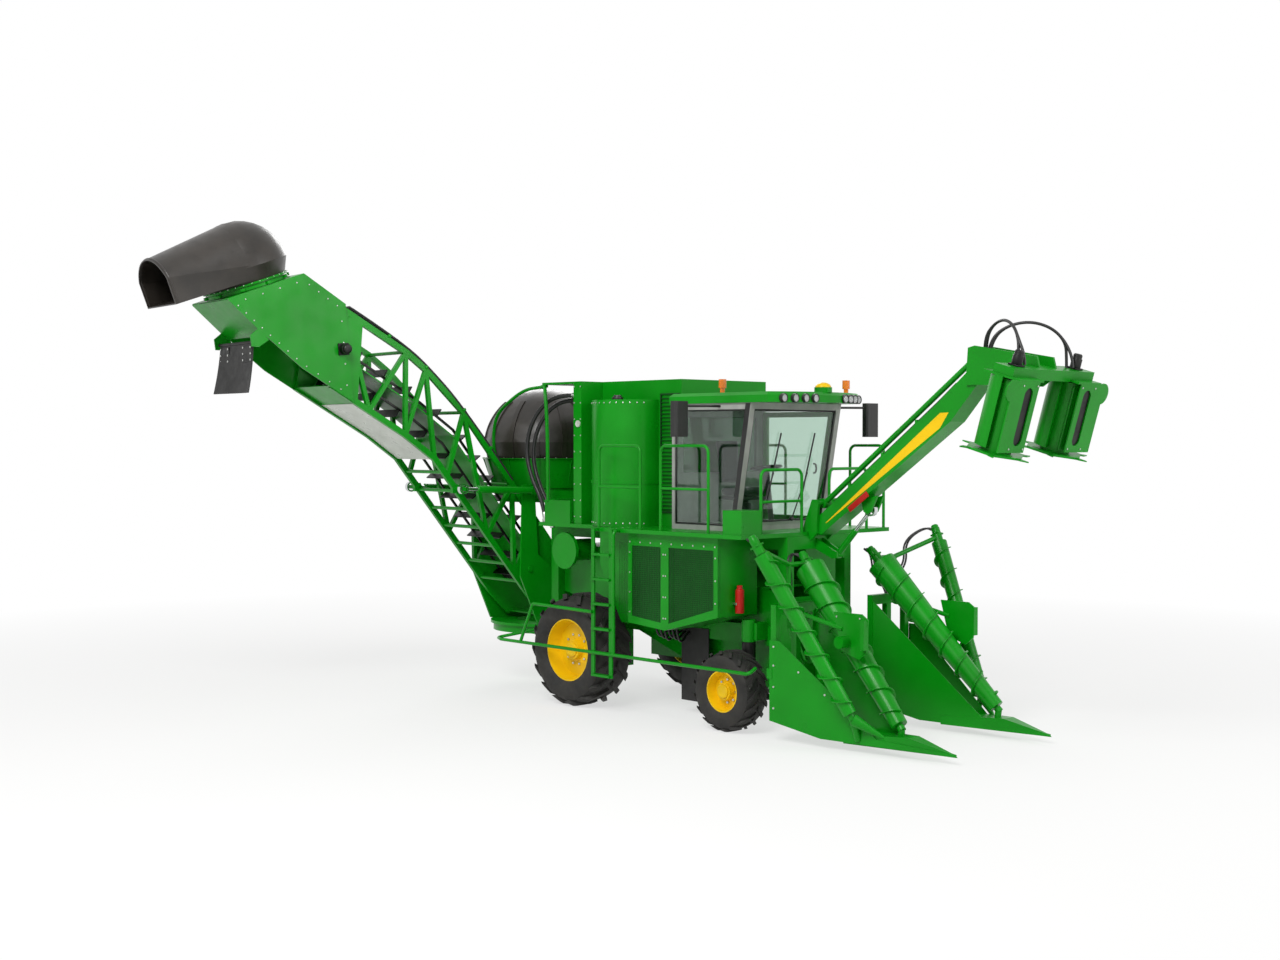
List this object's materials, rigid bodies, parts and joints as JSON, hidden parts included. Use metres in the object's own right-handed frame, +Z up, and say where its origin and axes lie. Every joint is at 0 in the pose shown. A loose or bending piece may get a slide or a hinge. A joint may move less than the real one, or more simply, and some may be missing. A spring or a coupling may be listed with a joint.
{
  "type": "sugarcane harvester",
  "caption": "Wheeled sugarcane harvester with a cab, crop dividers with scrolls, a topper boom, an extractor hood and a slewing slat elevator.",
  "frame": {"origin": "on the ground under the middle of the rear axle", "axes": "+X forward, +Y to the machine's left, +Z up"},
  "size_m": [9.8229, 7.7954, 6.3503],
  "materials": {
    "green_paint": "gloss paint, dusty",
    "yellow_paint": "gloss paint",
    "black_plastic": "moulded, satin",
    "grey_trim": "satin",
    "tyre": "dusty rubber",
    "glass": "clear, light green tint",
    "chrome": "polished rod",
    "lamp": "clear lens",
    "amber": "translucent lens",
    "rubber": "matt sheet",
    "dark_steel": "dark, worn",
    "seat_fabric": "woven"
  },
  "bodies": {
    "chassis": {"main_frame": "green_paint", "feed_housing": "green_paint", "chopper_covers": "green_paint", "deck": "green_paint", "cooling_box": "green_paint", "fuel_tank": "green_paint", "engine_block": "dark_steel", "engine_cover": "green_paint", "side_tank": "green_paint", "rails_and_ladder": "green_paint", "rubber_flaps": "rubber", "cab_frame": "grey_trim", "cab_glass": "glass", "cab_roof": "green_paint", "work_lamps": "lamp", "beacons": "amber", "mirrors": "black_plastic", "seat": "seat_fabric", "steering_column": "black_plastic", "extractor_base": "green_paint"},
    "rear_wheel_left": {"rear_tyre_left": "tyre", "rear_rim_left": "yellow_paint"},
    "rear_wheel_right": {"rear_tyre_right": "tyre", "rear_rim_right": "yellow_paint"},
    "knuckle_left": {"front_knuckle_left": "dark_steel"},
    "knuckle_right": {"front_knuckle_right": "dark_steel"},
    "front_wheel_left": {"front_tyre_left": "tyre", "front_rim_left": "yellow_paint"},
    "front_wheel_right": {"front_tyre_right": "tyre", "front_rim_right": "yellow_paint"},
    "door": {"cab_door": "green_paint", "door_glass": "glass"},
    "hood": {"primary_hood": "black_plastic"},
    "fan": {"primary_fan": "dark_steel"},
    "slew": {"slew_table": "green_paint"},
    "elevator": {"elevator_frame": "green_paint", "elevator_flights": "dark_steel", "secondary_housing": "green_paint"},
    "lift_barrel": {"lift_barrels": "dark_steel"},
    "lift_rod": {"lift_rods": "chrome"},
    "upper_hood": {"secondary_hood": "black_plastic"},
    "upper_fan": {"secondary_fan": "dark_steel"},
    "flap": {"bin_flap": "rubber"},
    "boom": {"topper_boom": "green_paint"},
    "boom_link": {"topper_link": "green_paint"},
    "boom_head": {"topper_head": "green_paint"},
    "boom_barrel": {"topper_barrel": "dark_steel"},
    "boom_rod": {"topper_rod": "chrome"},
    "drum_left": {"topper_drum_left": "dark_steel"},
    "drum_right": {"topper_drum_right": "dark_steel"},
    "divider_left": {"divider_left": "green_paint"},
    "divider_right": {"divider_right": "green_paint"},
    "outer_scroll_left": {"outer_scroll_left": "green_paint"},
    "outer_scroll_right": {"outer_scroll_right": "green_paint"},
    "inner_scroll_left": {"inner_scroll_left": "green_paint"},
    "inner_scroll_right": {"inner_scroll_right": "green_paint"},
    "cutter_left": {"base_cutter_left": "dark_steel"},
    "cutter_right": {"base_cutter_right": "dark_steel"},
    "roller": {"knockdown_roller": "green_paint"}
  },
  "joints": [
    {"name": "rear_wheel_spin_left", "type": "hinge", "parent": "chassis", "child": "rear_wheel_left", "pos_m": [0, 1.12, 0.745], "axis": [0, 1, 0], "continuous": true},
    {"name": "rear_wheel_spin_right", "type": "hinge", "parent": "chassis", "child": "rear_wheel_right", "pos_m": [0, -1.12, 0.745], "axis": [0, 1, 0], "continuous": true},
    {"name": "steer_left", "type": "hinge", "parent": "chassis", "child": "knuckle_left", "pos_m": [2.75, 0.8, 0.49], "axis": [0, 0, 1], "range_deg": [-35, 35]},
    {"name": "front_wheel_spin_left", "type": "hinge", "parent": "knuckle_left", "child": "front_wheel_left", "pos_m": [2.75, 1.12, 0.49], "axis": [0, 1, 0], "continuous": true},
    {"name": "steer_right", "type": "hinge", "parent": "chassis", "child": "knuckle_right", "pos_m": [2.75, -0.8, 0.49], "axis": [0, 0, 1], "range_deg": [-35, 35]},
    {"name": "front_wheel_spin_right", "type": "hinge", "parent": "knuckle_right", "child": "front_wheel_right", "pos_m": [2.75, -1.12, 0.49], "axis": [0, 1, 0], "continuous": true},
    {"name": "door_hinge", "type": "hinge", "parent": "chassis", "child": "door", "pos_m": [1.504, 0.866, 3.2], "axis": [0, 0, 1], "range_deg": [0, 80]},
    {"name": "hood_turn", "type": "hinge", "parent": "chassis", "child": "hood", "pos_m": [-2.1, 0, 2.86], "axis": [0, 0, 1], "range_deg": [-60, 60]},
    {"name": "fan_spin", "type": "hinge", "parent": "chassis", "child": "fan", "pos_m": [-2.1, 0, 2.7], "axis": [0, 0, 1], "continuous": true},
    {"name": "elevator_slew", "type": "hinge", "parent": "chassis", "child": "slew", "pos_m": [-2.1, 0, 0.86], "axis": [0, 0, -1], "range_deg": [0, 170]},
    {"name": "elevator_lift", "type": "hinge", "parent": "slew", "child": "elevator", "pos_m": [-2.16101, -0.69734, 1.7], "axis": [0.9962, -0.0872, 0], "range_deg": [0, 20]},
    {"name": "lift_barrel_swing", "type": "hinge", "parent": "slew", "child": "lift_barrel", "pos_m": [-2.16014, -0.68737, 2.82], "axis": [0.9962, -0.0872, 0], "range_deg": [0, 19]},
    {"name": "lift_rod_slide", "type": "slide", "parent": "lift_barrel", "child": "lift_rod", "axis": [-0.0871, -0.9956, 0.0342], "range_m": [0, 0.39]},
    {"name": "upper_hood_turn", "type": "hinge", "parent": "elevator", "child": "upper_hood", "pos_m": [-2.50745, -4.65721, 5.4775], "axis": [-0.0298, -0.3407, 0.9397], "range_deg": [-90, 90]},
    {"name": "upper_fan_spin", "type": "hinge", "parent": "elevator", "child": "upper_fan", "pos_m": [-2.50745, -4.65721, 5.4775], "axis": [-0.0298, -0.3407, 0.9397], "continuous": true},
    {"name": "flap_swing", "type": "hinge", "parent": "elevator", "child": "flap", "pos_m": [-2.52096, -4.81162, 4.77], "axis": [-0.9962, 0.0872, 0], "range_deg": [0, 45]},
    {"name": "topper_lift", "type": "hinge", "parent": "chassis", "child": "boom", "pos_m": [3.25, 0, 2.45], "axis": [0, 1, 0], "range_deg": [0, 38]},
    {"name": "topper_link_swing", "type": "hinge", "parent": "chassis", "child": "boom_link", "pos_m": [3.28, 0, 2.75], "axis": [0, 1, 0], "range_deg": [0, 38.5]},
    {"name": "topper_level", "type": "hinge", "parent": "boom", "child": "boom_head", "pos_m": [5.55, 0, 4.22], "axis": [0, 1, 0], "range_deg": [-38.5, 0]},
    {"name": "topper_barrel_swing", "type": "hinge", "parent": "chassis", "child": "boom_barrel", "pos_m": [3.49, 0, 2.13], "axis": [0, 1, 0], "range_deg": [0, 41]},
    {"name": "topper_rod_slide", "type": "slide", "parent": "boom_barrel", "child": "boom_rod", "axis": [0.6805, 0, 0.7328], "range_m": [-0.26, 0]},
    {"name": "drum_spin_left", "type": "hinge", "parent": "boom_head", "child": "drum_left", "pos_m": [6.16, 0.57, 3.4], "axis": [0.2756, 0, 0.9613], "continuous": true},
    {"name": "drum_spin_right", "type": "hinge", "parent": "boom_head", "child": "drum_right", "pos_m": [6.16, -0.57, 3.4], "axis": [0.2756, 0, 0.9613], "continuous": true},
    {"name": "divider_lift_left", "type": "hinge", "parent": "chassis", "child": "divider_left", "pos_m": [3.42, 0.54, 0.8], "axis": [0, -1, 0], "range_deg": [0, 10]},
    {"name": "outer_scroll_spin_left", "type": "hinge", "parent": "divider_left", "child": "outer_scroll_left", "pos_m": [4.722, 1.256, 0.458], "axis": [-0.466, 0.2076, 0.8601], "continuous": true},
    {"name": "inner_scroll_spin_left", "type": "hinge", "parent": "divider_left", "child": "inner_scroll_left", "pos_m": [5.166, 0.93, 0.348], "axis": [-0.6762, -0.115, 0.7277], "continuous": true},
    {"name": "cutter_spin_left", "type": "hinge", "parent": "chassis", "child": "cutter_left", "pos_m": [1.9, 0.3, 0.15], "axis": [0, 0, 1], "continuous": true},
    {"name": "divider_lift_right", "type": "hinge", "parent": "chassis", "child": "divider_right", "pos_m": [3.42, -0.54, 0.8], "axis": [0, -1, 0], "range_deg": [0, 10]},
    {"name": "outer_scroll_spin_right", "type": "hinge", "parent": "divider_right", "child": "outer_scroll_right", "pos_m": [4.722, -1.256, 0.458], "axis": [-0.466, -0.2076, 0.8601], "continuous": true},
    {"name": "inner_scroll_spin_right", "type": "hinge", "parent": "divider_right", "child": "inner_scroll_right", "pos_m": [5.166, -0.93, 0.348], "axis": [-0.6762, 0.115, 0.7277], "continuous": true},
    {"name": "cutter_spin_right", "type": "hinge", "parent": "chassis", "child": "cutter_right", "pos_m": [1.9, -0.3, 0.15], "axis": [0, 0, 1], "continuous": true},
    {"name": "roller_spin", "type": "hinge", "parent": "chassis", "child": "roller", "pos_m": [2.92, 0, 1.42], "axis": [0, 1, 0], "continuous": true}
  ],
  "couplings": [
    {"joint": "steer_right", "follows": "steer_left", "ratio": 1},
    {"joint": "lift_barrel_swing", "follows": "elevator_lift", "ratio": 0.911},
    {"joint": "lift_rod_slide", "follows": "elevator_lift", "m_per_rad": 1.1092},
    {"joint": "topper_link_swing", "follows": "topper_lift", "ratio": 1},
    {"joint": "topper_level", "follows": "topper_lift", "ratio": -1},
    {"joint": "topper_barrel_swing", "follows": "topper_lift", "ratio": 1.0678},
    {"joint": "topper_rod_slide", "follows": "topper_lift", "m_per_rad": -0.38942}
  ]
}
